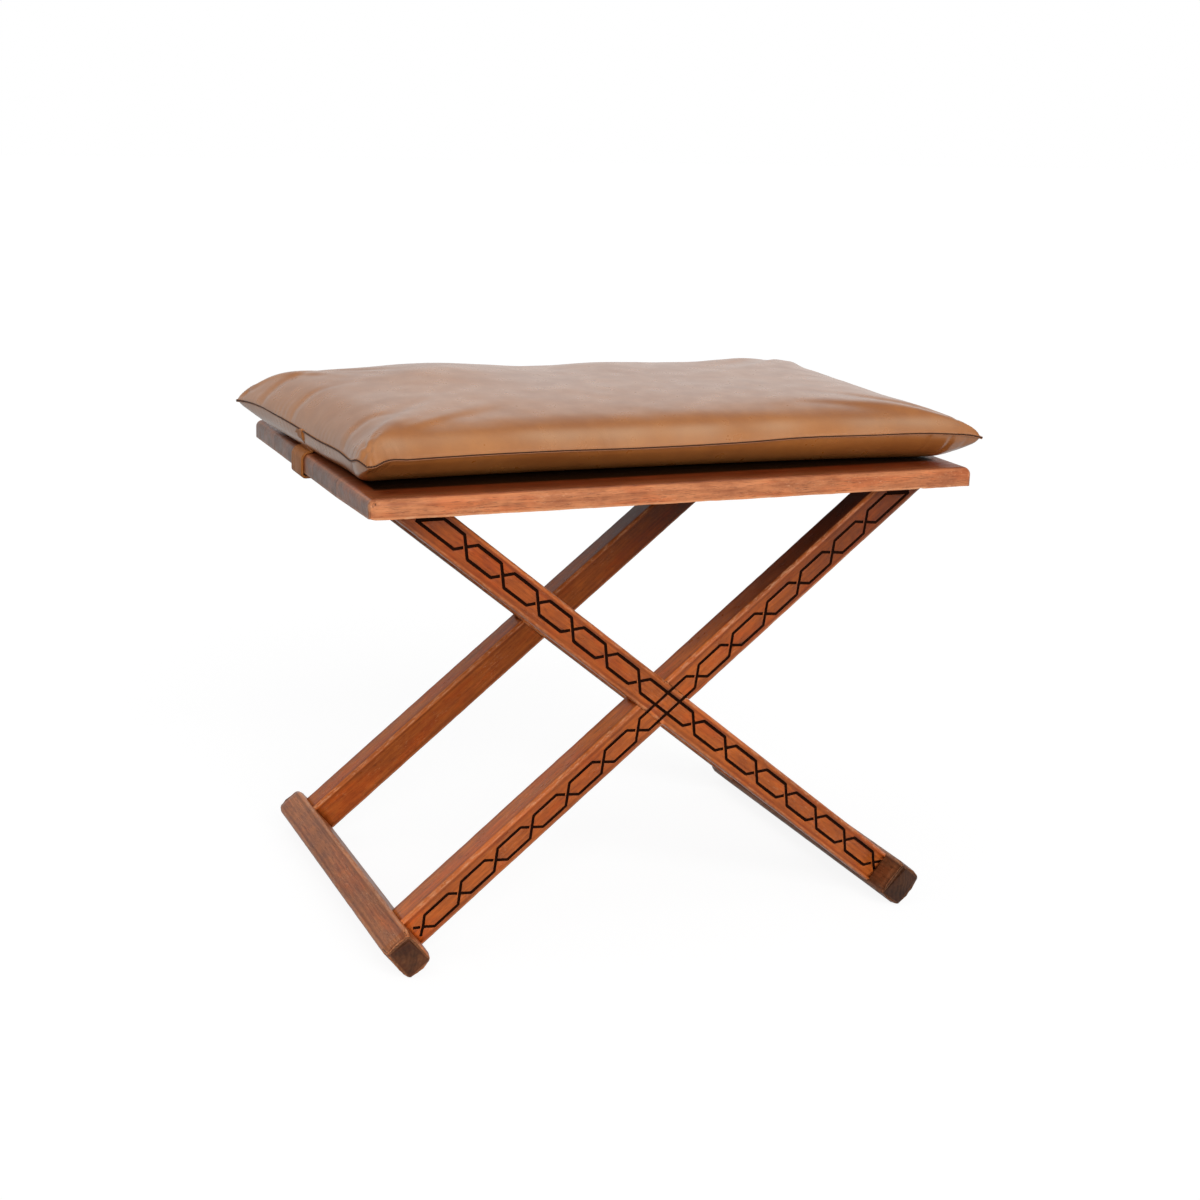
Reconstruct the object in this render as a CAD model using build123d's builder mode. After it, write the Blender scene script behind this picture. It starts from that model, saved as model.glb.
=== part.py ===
from build123d import *
from math import atan2, cos, radians, sin, tan
import os

# X-frame stool: a glued-up board on two flush half-lapped X frames, with foot bars
# that run front to back and a knife-edge leather cushion strapped round the board ends.
# Millimetres. X runs along the board, -Y is the front, +Z is up, the floor is z = 0.

# Seat board
board_length = 600
board_depth = 402
board_thickness = 18
board_top_height = 450
board_edge_round = 6.5
board_corner_round = 3
stave_width_shares = (0.249, 0.194, 0.181, 0.184, 0.192)
stave_names = ("front", "front_middle", "middle", "rear_middle", "rear")

# X frames
leg_width = 34
leg_thickness = 32
leg_slope = 38.9
leg_arris_round = 4
leg_inset = 32
leg_top_inset = 51.4

# Foot bars
bar_along_leg = 30.2
bar_across_leg = 39.4
bar_end_setback = 2
bar_edge_round = 4.5
bar_flat_depth = 0.5

# Dowels of both kinds
dowel_diameter = 10
dowel_end_gap = 0.5
foot_dowel_depth = 17
top_dowel_board_depth = 12
top_dowel_leg_depth = 17
top_dowel_inset = 17

# Cushion
cushion_overhang = 12
cushion_setback = 16
cushion_end_pull = 8
cushion_side_pull = 17
seam_height = 26
crown_height = 31
leather_thickness = 1.6
crown_steps = 7
crown_roundness = 3
crown_turn = 78
crown_inset = 81
crown_pull_share = 0.1
under_inset = 37
under_level_shares = (
    (0, 0, 1),
    (0.35, 0.2, 0.85),
    (0.7, 0.5, 0.6),
    (1, 1, 0.4),
)

# Straps and press studs
strap_width = 36
strap_thickness = 2.5
strap_centre_y = 28.5
strap_clearance = 0.6
strap_waist_inset = 12
strap_seam_drop = 1.2
strap_tail_length = 52
strap_tail_corner = 8
strap_fold_round = 2.6
strap_fold_room_share = 0.96
strap_turn_round = 3.2
snap_setback = 34
snap_stack = 3.2
stud_flange_diameter = 10
stud_flange_height = 0.8
stud_post_diameter = 4.6
stud_shank_diameter = 3
stud_shank_length = 10
socket_diameter = 11.5
socket_floor = 0.6
cap_diameter = 15
cap_height = 2.4
cap_barrel_diameter = 4
snap_clearance = 0.2

# Levels and places worked out from the sizes above
board_under = board_top_height - board_thickness
slope_cos = cos(radians(leg_slope))
slope_sin = sin(radians(leg_slope))
leg_top_x = board_length / 2 - leg_top_inset
leg_top_run = leg_top_x / slope_cos
crossing_height = board_under - leg_top_run * slope_sin
bar_corner_lift = bar_edge_round * (slope_cos + slope_sin - 1)
bar_drop = bar_across_leg / 2 * slope_cos - bar_corner_lift - bar_flat_depth
leg_foot_run = (crossing_height - bar_drop) / slope_sin - bar_along_leg
frame_outer_y = board_depth / 2 - leg_inset
frame_middle_y = frame_outer_y - leg_thickness / 2
bar_length = board_depth - 2 * bar_end_setback
leg_reach = leg_foot_run + leg_top_run + leg_width
top_corner_x = leg_top_x - leg_width / 2 / slope_sin
top_dowel_x = top_corner_x + top_dowel_inset
cushion_length = board_length + 2 * cushion_overhang
cushion_depth = board_depth - 2 * cushion_setback
seam_level = board_top_height + seam_height
seam_x = cushion_length / 2 - cushion_end_pull
strap_face_level = board_under - snap_stack
snap_x = board_length / 2 - snap_setback

sides = ((-1, "left"), (1, "right"))
faces = ((-1, "front"), (1, "rear"))

os.makedirs("parts", exist_ok=True)


def write(piece, name):
    piece.label = name
    export_step(piece, f"parts/{name}.step")


# A leg's own frame: local X climbs the leg from its foot, local Y is across it,
# and the origin is the crossing of the two legs at the depth y.
def leg_plane(foot, y):
    return Plane(
        origin=(0, y, crossing_height),
        x_dir=(-foot * slope_cos, 0, slope_sin),
        z_dir=(0, foot, 0),
    )


# The section plane across a leg, at a run along it from the crossing.
def leg_section(foot, y, run):
    climb = Vector(-foot * slope_cos, 0, slope_sin)
    return Plane(
        origin=Vector(0, y, crossing_height) + climb * run,
        x_dir=(0, 1, 0),
        z_dir=climb,
    )


# The four places under the board where the tops of the legs are dowelled.
def top_dowel_places():
    return [
        (side * top_dowel_x, face * frame_middle_y)
        for side, _ in sides
        for face, _ in faces
    ]


# Seat board: one blank with a rounded top edge, sawn into staves
stave_edges = [-board_depth / 2]
for share in stave_width_shares:
    stave_edges.append(stave_edges[-1] + share * board_depth)

for name, front_edge, rear_edge in zip(stave_names, stave_edges, stave_edges[1:]):
    with BuildPart() as stave:
        with BuildSketch(Plane.XY.offset(board_under)):
            RectangleRounded(board_length, board_depth, board_corner_round)
        extrude(amount=board_thickness)
        fillet(stave.faces().sort_by(Axis.Z)[-1].edges(), board_edge_round)
        with BuildSketch(Plane.XY.offset(board_under)):
            with Locations((0, (front_edge + rear_edge) / 2)):
                Rectangle(board_length, rear_edge - front_edge)
        extrude(amount=board_thickness, mode=Mode.INTERSECT)
        with BuildSketch(Plane.XY.offset(board_under)):
            with Locations(*top_dowel_places()):
                Circle(dowel_diameter / 2)
        extrude(amount=top_dowel_board_depth + dowel_end_gap, mode=Mode.SUBTRACT)
        with BuildSketch(Plane.XY.offset(board_under)):
            with Locations((-snap_x, strap_centre_y), (snap_x, strap_centre_y)):
                Circle(stud_shank_diameter / 2)
        extrude(amount=stud_shank_length, mode=Mode.SUBTRACT)
    write(stave.part, f"seat_stave_{name}")

# Legs: a rounded section along the slope, cut level under the board, with half
# of the crossing cut away for the other leg of the pair
for face, face_name in faces:
    outer_y = face * frame_outer_y
    middle_y = face * frame_middle_y
    for foot, foot_name in sides:
        keeps_outer_half = foot == -face
        lap_start = outer_y if keeps_outer_half else middle_y
        with BuildPart() as leg:
            with BuildSketch(leg_section(foot, middle_y, -leg_foot_run)):
                RectangleRounded(leg_thickness, leg_width, leg_arris_round)
            extrude(amount=leg_reach)
            split(bisect_by=Plane.XY.offset(board_under), keep=Keep.BOTTOM)
            with BuildSketch(leg_plane(foot, outer_y)) as crossing:
                Rectangle(leg_reach, leg_width)
                with Locations(Location((0, 0, 0), (0, 0, -2 * leg_slope))):
                    Rectangle(leg_reach, leg_width, mode=Mode.INTERSECT)
            extrude(amount=-face * foot * leg_thickness, mode=Mode.SUBTRACT)
            with BuildSketch(leg_plane(foot, lap_start)):
                add(crossing.sketch_local)
            extrude(amount=-face * foot * leg_thickness / 2)
            with BuildSketch(leg_section(foot, middle_y, -leg_foot_run)):
                Circle(dowel_diameter / 2)
            extrude(amount=foot_dowel_depth + dowel_end_gap, mode=Mode.SUBTRACT)
            with BuildSketch(Plane.XY.offset(board_under)):
                with Locations(*top_dowel_places()):
                    Circle(dowel_diameter / 2)
            extrude(amount=-top_dowel_leg_depth - dowel_end_gap, mode=Mode.SUBTRACT)
        write(leg.part, f"{face_name}_leg_{foot_name}_foot")

# Foot bars: tilted with the legs, rounded on every edge, planed flat on the floor
for side, side_name in sides:
    bar_centre = leg_section(side, 0, -leg_foot_run - bar_along_leg / 2).origin
    with BuildPart() as bar:
        with BuildSketch(
            Plane(
                origin=bar_centre - Vector(0, bar_length / 2, 0),
                x_dir=(-side * slope_cos, 0, slope_sin),
                z_dir=(0, 1, 0),
            )
        ):
            Rectangle(bar_along_leg, bar_across_leg)
        extrude(amount=bar_length)
        fillet(bar.edges(), bar_edge_round)
        split(bisect_by=Plane.XY, keep=Keep.TOP)
        for face, _ in faces:
            with BuildSketch(leg_section(side, face * frame_middle_y, -leg_foot_run)):
                Circle(dowel_diameter / 2)
            extrude(amount=-foot_dowel_depth - dowel_end_gap, mode=Mode.SUBTRACT)
    write(bar.part, f"{side_name}_foot_bar")

# Dowels, one to each end of a leg
with BuildPart() as foot_dowels:
    for face, _ in faces:
        for foot, _ in sides:
            start = leg_section(foot, face * frame_middle_y, -leg_foot_run - foot_dowel_depth)
            with BuildSketch(start):
                Circle(dowel_diameter / 2)
            extrude(amount=2 * foot_dowel_depth)
write(foot_dowels.part, "foot_dowels")

with BuildPart() as top_dowels:
    with BuildSketch(Plane.XY.offset(board_under - top_dowel_leg_depth)):
        with Locations(*top_dowel_places()):
            Circle(dowel_diameter / 2)
    extrude(amount=top_dowel_leg_depth + top_dowel_board_depth)
write(top_dowels.part, "top_dowels")

# Cushion levels from the seam to the crown: height, inset from the seam and what
# is left of the pull between the corners, on a rounded-square curve that stops
# short of level.
def crown_level_shares():
    power = 2 / crown_roundness
    full_turn = radians(crown_turn)
    levels = []
    for step in range(crown_steps + 1):
        turn = full_turn * step / crown_steps
        rise = (sin(turn) / sin(full_turn)) ** power
        inset = (1 - cos(turn) ** power) / (1 - cos(full_turn) ** power)
        levels.append((rise, inset, 1 - (1 - crown_pull_share) * inset))
    return levels


# One outline of the cushion: four shallow arcs that draw in between the corners.
def cushion_outline(level, inset, pull_share, skin):
    half_length = cushion_length / 2 - inset - skin
    half_depth = cushion_depth / 2 - inset - skin
    end_pull = cushion_end_pull * pull_share
    side_pull = cushion_side_pull * pull_share
    corners = [
        (-half_length, -half_depth),
        (half_length, -half_depth),
        (half_length, half_depth),
        (-half_length, half_depth),
    ]
    middles = [
        (0, -half_depth + side_pull),
        (half_length - end_pull, 0),
        (0, half_depth - side_pull),
        (-half_length + end_pull, 0),
    ]
    with BuildSketch(Plane.XY.offset(level)) as outline:
        with BuildLine():
            for start, middle, end in zip(corners, middles, corners[1:] + corners[:1]):
                ThreePointArc(start, middle, end)
        make_face()
    return outline.sketch


# Half of the cushion, above or below the seam, as large as the skin leaves it.
def cushion_half(levels, height, full_inset, skin):
    reach = height - skin if height > 0 else height + skin
    with BuildPart() as half:
        for height_share, inset_share, pull_share in levels:
            level = seam_level + reach * height_share
            add(cushion_outline(level, inset_share * full_inset, pull_share, skin))
        loft(ruled=True)
    return half.part


crown_form = (crown_level_shares(), crown_height, crown_inset)
under_form = (under_level_shares, -seam_height, under_inset)
for name, form in (("cushion_top_panel", crown_form), ("cushion_bottom_panel", under_form)):
    with BuildPart() as panel:
        add(cushion_half(*form, 0))
        add(cushion_half(*form, leather_thickness), mode=Mode.SUBTRACT)
    write(panel.part, name)

with BuildPart() as cushion_pad:
    add(cushion_half(*crown_form, leather_thickness))
    add(cushion_half(*under_form, leather_thickness))
write(cushion_pad.part, "cushion_pad")

# Straps: from the seam in under the cushion, round the end of the board and back
# under it, with a stud hole near the tail
strap_outer_x = board_length / 2 + strap_thickness / 2
strap_waist_x = board_length / 2 - strap_waist_inset
strap_top_level = board_top_height + strap_thickness / 2
strap_under_level = strap_face_level - strap_thickness / 2
strap_start_x = seam_x + strap_thickness / 2 + strap_clearance
strap_start_level = seam_level - strap_seam_drop
edge_turn_round = board_edge_round + strap_thickness / 2
fold_angle = atan2(strap_start_level - strap_top_level, strap_start_x - strap_waist_x)
fold_room = (strap_outer_x - edge_turn_round - strap_waist_x) * tan(fold_angle / 2)
strap_path = [
    (strap_start_x, strap_start_level),
    (strap_waist_x, strap_top_level),
    (strap_outer_x, strap_top_level),
    (strap_outer_x, strap_under_level),
    (board_length / 2 - strap_tail_length, strap_under_level),
]
strap_bends = [
    min(strap_fold_round, strap_fold_room_share * fold_room),
    edge_turn_round,
    strap_turn_round,
]
for side, side_name in sides:
    with BuildPart() as strap:
        strap_start = Plane(
            origin=(0, strap_centre_y - strap_width / 2, 0),
            x_dir=(side, 0, 0),
            z_dir=(0, -side, 0),
        )
        with BuildSketch(strap_start):
            with BuildLine() as route:
                FilletPolyline(*strap_path, radius=strap_bends)
            trace(line_width=strap_thickness)
        extrude(amount=-side * strap_width)
        tail = strap.edges().filter_by(Axis.Z).sort_by(Axis.X)
        fillet(tail[:2] if side > 0 else tail[-2:], strap_tail_corner)
        with BuildSketch(Plane.XY.offset(strap_face_level)):
            with Locations((side * snap_x, strap_centre_y)):
                Circle(cap_barrel_diameter / 2)
        extrude(amount=-strap_thickness, mode=Mode.SUBTRACT)
    write(strap.part, f"{side_name}_strap")

# Press studs: a screwed stud under the board, a socket and a cap on the strap
snap_places = [(side * snap_x, strap_centre_y) for side, _ in sides]
post_height = snap_stack - stud_flange_height - socket_floor - snap_clearance

with BuildPart() as snap_studs:
    with BuildSketch(Plane.XY.offset(board_under - stud_flange_height)):
        with Locations(*snap_places):
            Circle(stud_flange_diameter / 2)
    extrude(amount=stud_flange_height)
    with BuildSketch(Plane.XY.offset(board_under)):
        with Locations(*snap_places):
            Circle(stud_shank_diameter / 2)
    extrude(amount=stud_shank_length - dowel_end_gap)
    with BuildSketch(Plane.XY.offset(board_under - stud_flange_height)):
        with Locations(*snap_places):
            Circle(stud_post_diameter / 2)
    extrude(amount=-post_height)
write(snap_studs.part, "snap_studs")

with BuildPart() as snap_sockets:
    with BuildSketch(Plane.XY.offset(strap_face_level)):
        with Locations(*snap_places):
            Circle(socket_diameter / 2)
    extrude(amount=snap_stack - stud_flange_height)
    with BuildSketch(Plane.XY.offset(strap_face_level + socket_floor)):
        with Locations(*snap_places):
            Circle(stud_post_diameter / 2 + snap_clearance)
    extrude(amount=snap_stack - stud_flange_height - socket_floor, mode=Mode.SUBTRACT)
write(snap_sockets.part, "snap_sockets")

cap_top = strap_face_level - strap_thickness
cap_round = (cap_height**2 + (cap_diameter / 2) ** 2) / (2 * cap_height)
with BuildPart() as snap_caps:
    for side, _ in sides:
        cap_plane = Plane(
            origin=(side * snap_x, strap_centre_y, cap_top),
            x_dir=(1, 0, 0),
            z_dir=(0, -1, 0),
        )
        with BuildSketch(cap_plane):
            with BuildLine():
                Line((0, -cap_height), (0, strap_thickness))
                Line((0, strap_thickness), (cap_barrel_diameter / 2, strap_thickness))
                Line(
                    (cap_barrel_diameter / 2, strap_thickness),
                    (cap_barrel_diameter / 2, 0),
                )
                Line((cap_barrel_diameter / 2, 0), (cap_diameter / 2, 0))
                RadiusArc((cap_diameter / 2, 0), (0, -cap_height), cap_round)
            make_face()
        revolve(axis=Axis((side * snap_x, strap_centre_y, 0), (0, 0, 1)))
write(snap_caps.part, "snap_caps")

print("crossing height", round(crossing_height, 2), "leg top run", round(leg_top_run, 2))
print("cushion top", seam_level + crown_height, "seam", seam_level)
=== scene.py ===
import math
from functools import partialmethod

import bmesh
import bpy
import numpy as np
from mathutils import Matrix, Vector, noise
from mathutils.geometry import delaunay_2d_cdt


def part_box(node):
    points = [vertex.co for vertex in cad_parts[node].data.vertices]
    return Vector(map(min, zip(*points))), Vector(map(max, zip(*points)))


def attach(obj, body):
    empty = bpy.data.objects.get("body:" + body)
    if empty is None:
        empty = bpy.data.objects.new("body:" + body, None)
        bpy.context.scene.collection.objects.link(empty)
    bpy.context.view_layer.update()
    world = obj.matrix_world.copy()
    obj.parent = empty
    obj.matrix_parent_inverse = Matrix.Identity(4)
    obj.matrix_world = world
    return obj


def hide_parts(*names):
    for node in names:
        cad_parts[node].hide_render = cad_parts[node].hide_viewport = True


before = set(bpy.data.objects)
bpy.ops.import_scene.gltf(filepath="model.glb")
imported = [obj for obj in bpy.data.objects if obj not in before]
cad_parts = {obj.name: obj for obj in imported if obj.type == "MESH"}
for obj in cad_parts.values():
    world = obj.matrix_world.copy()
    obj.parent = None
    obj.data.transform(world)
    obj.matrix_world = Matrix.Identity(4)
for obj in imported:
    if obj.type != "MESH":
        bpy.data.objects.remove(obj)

bl_info = {
    "name": "X-frame stool",
    "version": (1, 0, 0),
    "blender": (4, 5, 0),
    "location": "View3D > Sidebar > Stool",
    "description": "Dresses a carved x-frame stool with worn wood, a stuffed leather cushion and its straps",
    "category": "Object",
}

MM = 0.001
STAVES = ("seat_stave_front", "seat_stave_front_middle", "seat_stave_middle",
          "seat_stave_rear_middle", "seat_stave_rear")
LEGS = ("front_leg_left_foot", "front_leg_right_foot", "rear_leg_left_foot", "rear_leg_right_foot")
FOOT_BARS = ("left_foot_bar", "right_foot_bar")
BOARD_LOW = Vector(map(min, *(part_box(stave)[0] for stave in STAVES)))
BOARD_HIGH = Vector(map(max, *(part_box(stave)[1] for stave in STAVES)))
LEG_SLOPE = math.radians(38.9)
CROSSING_HEIGHT = 231.41 * MM
LEG_WIDTH, LEG_THICKNESS = 34 * MM, 32 * MM
LEG_FACE = 169 * MM
SLOPE_SIN, SLOPE_COS = math.sin(LEG_SLOPE), math.cos(LEG_SLOPE)


def leg_axes(foot):
    """The way up along the leg whose foot is on side -1 or 1, and the way across it."""
    return (-foot * SLOPE_COS, 0, SLOPE_SIN), (foot * SLOPE_SIN, 0, SLOPE_COS)


# Node trees

class Value:
    """A node's output, which can be summed and multiplied like a number."""

    def __init__(self, node, output=0):
        self.tree, self.socket = node.id_data, node.outputs[output]

    def join(self, operation, other=0.0):
        return Value(add(self.tree, "ShaderNodeMath", {0: self, 1: other}, operation=operation))

    __add__ = partialmethod(join, "ADD")
    __sub__ = partialmethod(join, "SUBTRACT")
    __mul__ = partialmethod(join, "MULTIPLY")
    __truediv__ = partialmethod(join, "DIVIDE")
    least = partialmethod(join, "MINIMUM")
    most = partialmethod(join, "MAXIMUM")

    def step(self, low, high, to_low=0.0, to_high=1.0):
        """Runs smoothly from to_low to to_high while this value runs from low to high."""
        return Value(add(self.tree, "ShaderNodeMapRange", {
            "Value": self, "From Min": low, "From Max": high, "To Min": to_low, "To Max": to_high,
        }, interpolation_type="SMOOTHSTEP"))

    def vector(self, operation, *others, output=0):
        inputs = dict(enumerate((self, *others)))
        return Value(add(self.tree, "ShaderNodeVectorMath", inputs, operation=operation), output)

    def parts(self):
        node = add(self.tree, "ShaderNodeSeparateXYZ", {0: self})
        return [Value(node, axis) for axis in range(3)]

    def noise(self, scale, detail=3.0, roughness=0.5, distortion=0.0, output="Fac"):
        """Noise at this place. Three scales stretch it along the axes."""
        place = self
        if isinstance(scale, tuple):
            place = Value(add(self.tree, "ShaderNodeMapping", {"Vector": self, "Scale": scale}))
            scale = 1.0
        return Value(add(self.tree, "ShaderNodeTexNoise", {
            "Vector": place, "Scale": scale, "Detail": detail, "Roughness": roughness,
            "Distortion": distortion}), output)


def fill(socket, value):
    """Links a node's output to the socket, or sets the socket to a plain value."""
    if isinstance(value, Value):
        socket.id_data.links.new(value.socket, socket)
    else:
        socket.default_value = value


def add(tree, kind, inputs=None, **settings):
    """One node of a tree, with its settings by name and its inputs by name or number."""
    node = tree.nodes.new(kind)
    for name, value in settings.items():
        setattr(node, name, value)
    for name, value in (inputs or {}).items():
        fill(node.inputs[name], value)
    return node


def mix(share, first, second, kind="MIX"):
    """Two colours blended by a share."""
    tree = next(value.tree for value in (share, first) if isinstance(value, Value))
    return Value(add(tree, "ShaderNodeMix", {0: share, 6: first, 7: second},
                     data_type="RGBA", blend_type=kind), 2)


def tint(share, colour, factor):
    """A colour multiplied by another one, by a share."""
    return mix(share, colour, factor, "MULTIPLY")


def attribute(tree, name):
    return Value(add(tree, "ShaderNodeAttribute", attribute_name=name), "Vector")


def object_place(tree):
    return Value(add(tree, "ShaderNodeTexCoord"), "Object")


def bump(height, strength, distance):
    return Value(add(height.tree, "ShaderNodeBump", {
        "Height": height, "Strength": strength, "Distance": distance}))


def new_material(name):
    material = bpy.data.materials.new(name)
    material.use_nodes = True
    return material, material.node_tree


def paint(material, sockets):
    """Fills the named sockets of the material's shader."""
    shader = material.node_tree.nodes["Principled BSDF"]
    for name, value in sockets.items():
        fill(shader.inputs[name], value)
    return material


def shade(colour, factor):
    return tuple(channel * factor for channel in colour[:3]) + (1.0,)


def between(first, second, share):
    return tuple(a + (b - a) * share for a, b in zip(first, second))


# Finishes

# Over this depth in m the colour changes from one face of a piece to the next.
FACE_SKIN = (0.0014, 0.0003)


def wood_finish(name, light, dark, worn, ring_gap, wear, end_tone=0.5, board_top_shade=None, gloss=0.3,
                flecks=0.3, top_shading=None, arris=(4 * MM, 4 * MM), shine=0.4, seat_darkening=0.38, end_wear_and_highlight=1.0):
    """Varnished wood: growth rings, fibres and pores along the grain, darker end grain and rubbed arrises
    with a painted highlight along them, and, where asked, painted shade towards the legs' tops and on the
    board's top under the cushion.
    """
    material, tree = new_material(name)
    grain, place, half = (attribute(tree, kept) for kept in ("grain", "place", "half"))
    _, deep, high = grain.parts()
    warped = grain.noise((2.5, 22, 22)) * 0.035 + (deep * deep + high * high).join("POWER", 0.5)
    rings = (warped * (2 * math.pi / ring_gap)).join("SINE").step(-1.0, 1.0)
    fibres = grain.noise((22, 520, 520), 4.0, 0.6)
    pores = grain.noise((110, 1500, 1500), 2.0).step(0.56, 0.68)
    broad = grain.noise((7, 30, 30), 3.0, 0.55)
    blotch = grain.noise((55, 110, 110), 5.0, 0.65)
    tone = rings * 0.13 + fibres.step(0.25, 0.75) * 0.27
    tone = tone + broad.step(0.25, 0.75) * 0.30 + blotch.step(0.3, 0.7) * 0.30
    ruddy = grain.noise((14, 60, 60), 4.0, 0.6).step(0.46, 0.64)
    colour = tint(ruddy * 0.6, mix(tone, dark, light), (0.94, 0.62, 0.42, 1))
    colour = mix(pores * 0.5, colour, shade(dark, 0.45))
    silver = grain.noise((230, 900, 900), 3.0, 0.6, 1.2).step(0.56, 0.70)
    patch = grain.noise((22, 60, 60)).step(0.42, 0.62)
    colour = mix(silver * patch * flecks, colour, worn)

    # how far each point is inside the piece's ends, sides and upper and lower faces
    along, side, up = place.parts()
    x, y, z = half.vector("SUBTRACT", place.vector("ABSOLUTE")).parts()
    ends = x.step(0.0030, 0.0012) * grain.noise((20, 42, 42), 4.0).step(0.40, 0.58, 1.0 - 0.65 * end_wear_and_highlight)
    colour = mix(ends, colour, tint(1.0, mix(rings * 0.16, colour, worn),
                                    (end_tone, end_tone * 0.95, end_tone * 0.95, 1)))
    # painted shade: a leg's colour gets darker towards its top, under the board
    if top_shading:
        reach, shade_there, outer_shade_share = top_shading
        face, over = ([size / 2 - depth for depth in FACE_SKIN] for size in (LEG_THICKNESS, LEG_WIDTH))
        away = along.step(*reach) * up.step(*face, 1.0, outer_shade_share)
        colour = tint(away, colour, (shade_there, shade_there * 0.92, shade_there * 0.95, 1))
        over_side = side.step(*over)
        # painted light: the upper side is made lighter away from the top
        colour = tint(away.step(0.0, 0.6, 1.0, 0.0) * over_side, colour, (1.35, 1.5, 1.6, 1))
        # painted shade: the upper side is made darker near the top
        colour = tint(away * over_side, colour, (0.27, 0.20, 0.17, 1))
    # painted shade: the board's top gets darker towards the cushion, with a near-black painted shadow deep
    # under it
    if board_top_shade:
        board_top = (BOARD_HIGH.z - BOARD_LOW.z) / 2
        top = up.step(board_top - 0.0012, board_top - 0.0002)
        under_cushion_shade = (blotch * 0.016 + x.least(y)).step(0.010, 0.034, 0.58)
        under = (x * 2.3).least(y).step(0.035, 0.043)
        colour = mix(top * under, tint(top * under_cushion_shade, colour, board_top_shade), (0.004, 0.002, 0.001, 1))

    # wear, a darker line and a painted highlight along the arrises: 1 is where their rounding begins
    close = (x + y + z - x.most(y).most(z)) / up.step(-0.002, 0.002, *arris)
    # darker along the line where each arris's rounding begins
    seat = close.step(1.9, 1.1) * close.step(0.8, 1.1)
    colour = mix(seat * seat_darkening, colour, shade(dark, 0.5))
    # painted highlight: a lighter band along each arris's rounding, weaker near the ends
    glow = close.step(1.0, 0.70) * broad.step(0.35, 0.65, 0.1, 0.65) * x.step(0.0045, 0.0075, end_wear_and_highlight)
    colour = mix(glow, colour, between(light, worn, 0.10))
    rub = grain.noise((110, 420, 420), 5.0, 0.75)
    edge = close.step(0.86, 0.66) * rub.step(0.46, 0.62) * x.step(0.0045, 0.0075, end_wear_and_highlight * wear, wear)
    return paint(material, {
        "Base Color": mix(edge, colour, worn), "Specular IOR Level": shine,
        "Roughness": blotch.step(0.3, 0.7, gloss - 0.05, gloss + 0.10),
        "Normal": bump(pores * -0.9 + fibres, 0.30, 0.0002)})


def groove_finish(name, colour):
    """The scorched bottom of the carved lines."""
    material, tree = new_material(name)
    soot = object_place(tree).noise(260.0, 4.0, 0.6)
    return paint(material, {
        "Base Color": mix(soot, shade(colour, 0.55), shade(colour, 1.7)),
        "Roughness": soot.step(0.3, 0.7, 0.7, 0.9), "Specular IOR Level": 0.08})


def leather_finish(name, colour, dark, pale, pebble, scuff, gloss=0.29, shine=1.0,
                   grain_depth=0.0, coat=0.0):
    """Tan leather: mottled, with faint streaks, and pebbled grain where it is rubbed, paler there as rubbed
    leather and a painted sheen.
    """
    material, tree = new_material(name)
    place = object_place(tree)
    bent = place.noise(300.0, 2.0, output="Color").vector("MULTIPLY_ADD", (0.0012, 0.0012, 0.0012), place)
    cells = Value(add(tree, "ShaderNodeTexVoronoi", {
        "Vector": bent, "Scale": 1.0 / pebble, "Smoothness": 0.35}, feature="SMOOTH_F1"), "Distance")
    crease = place.noise(140.0, 4.0, 0.6, 0.3)
    cloud = place.noise(8.0, 4.0, 0.55)
    mottle = place.noise(45.0, 3.0, 0.6)
    tone = cloud.step(0.3, 0.7) * 0.45 + mottle.step(0.3, 0.7) * 0.35 + crease.step(0.3, 0.7) * 0.08
    streak = place.noise((7, 34, 34), 5.0, 0.6, 0.5).step(0.50, 0.80)
    rubbed = attribute(tree, "rubbed").parts()[0]
    # the rubbed band is paler, as rubbed leather and a painted sheen
    base = mix(rubbed * 0.42, mix(streak * scuff, mix(tone, dark, colour), pale), pale)
    height = crease * 0.4 - cells.least(0.5)
    return paint(material, {
        "Base Color": base, "Roughness": mottle.step(0.3, 0.7, gloss + 0.03, gloss - 0.02),
        "Specular IOR Level": shine, "Specular Tint": (0.95, 1.0, 0.92, 1), "IOR": 1.55,
        "Coat Weight": coat, "Coat Roughness": 0.3,
        "Normal": bump(height, rubbed * 0.60 + grain_depth, 0.0004)})


def plain_finish(name, light, dark, roughness, scale=400.0):
    """A small part's finish, mottled between two tones."""
    material, tree = new_material(name)
    spots = object_place(tree).noise(scale, 4.0, 0.6)
    return paint(material, {
        "Base Color": mix(spots, dark, light),
        "Roughness": spots.step(0.3, 0.7, roughness - 0.06, roughness + 0.06)})


# Meshes

def merged_copy(node):
    """A CAD node's loose triangles, joined into one closed skin."""
    skin = bmesh.new()
    skin.from_mesh(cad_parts[node].data)
    bmesh.ops.remove_doubles(skin, verts=skin.verts, dist=3e-6)
    return skin


def slice_skin(skin, normal, places):
    """Cuts the skin into narrow cells, so that it can be worn and dented."""
    for place in places:
        bmesh.ops.bisect_plane(skin, geom=skin.verts[:] + skin.edges[:] + skin.faces[:],
                               dist=1e-7, plane_co=place, plane_no=normal)


def new_object(name, data):
    made = bpy.data.objects.new(name, data)
    bpy.context.scene.collection.objects.link(made)
    return made


def smooth_faces(mesh):
    mesh.polygons.foreach_set("use_smooth", [True] * len(mesh.polygons))


def piece_from(skin, name, *materials):
    mesh = bpy.data.meshes.new(name)
    skin.to_mesh(mesh)
    skin.free()
    piece = new_object(name, mesh)
    for material in materials:
        mesh.materials.append(material)
    smooth_faces(mesh)
    return piece


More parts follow.
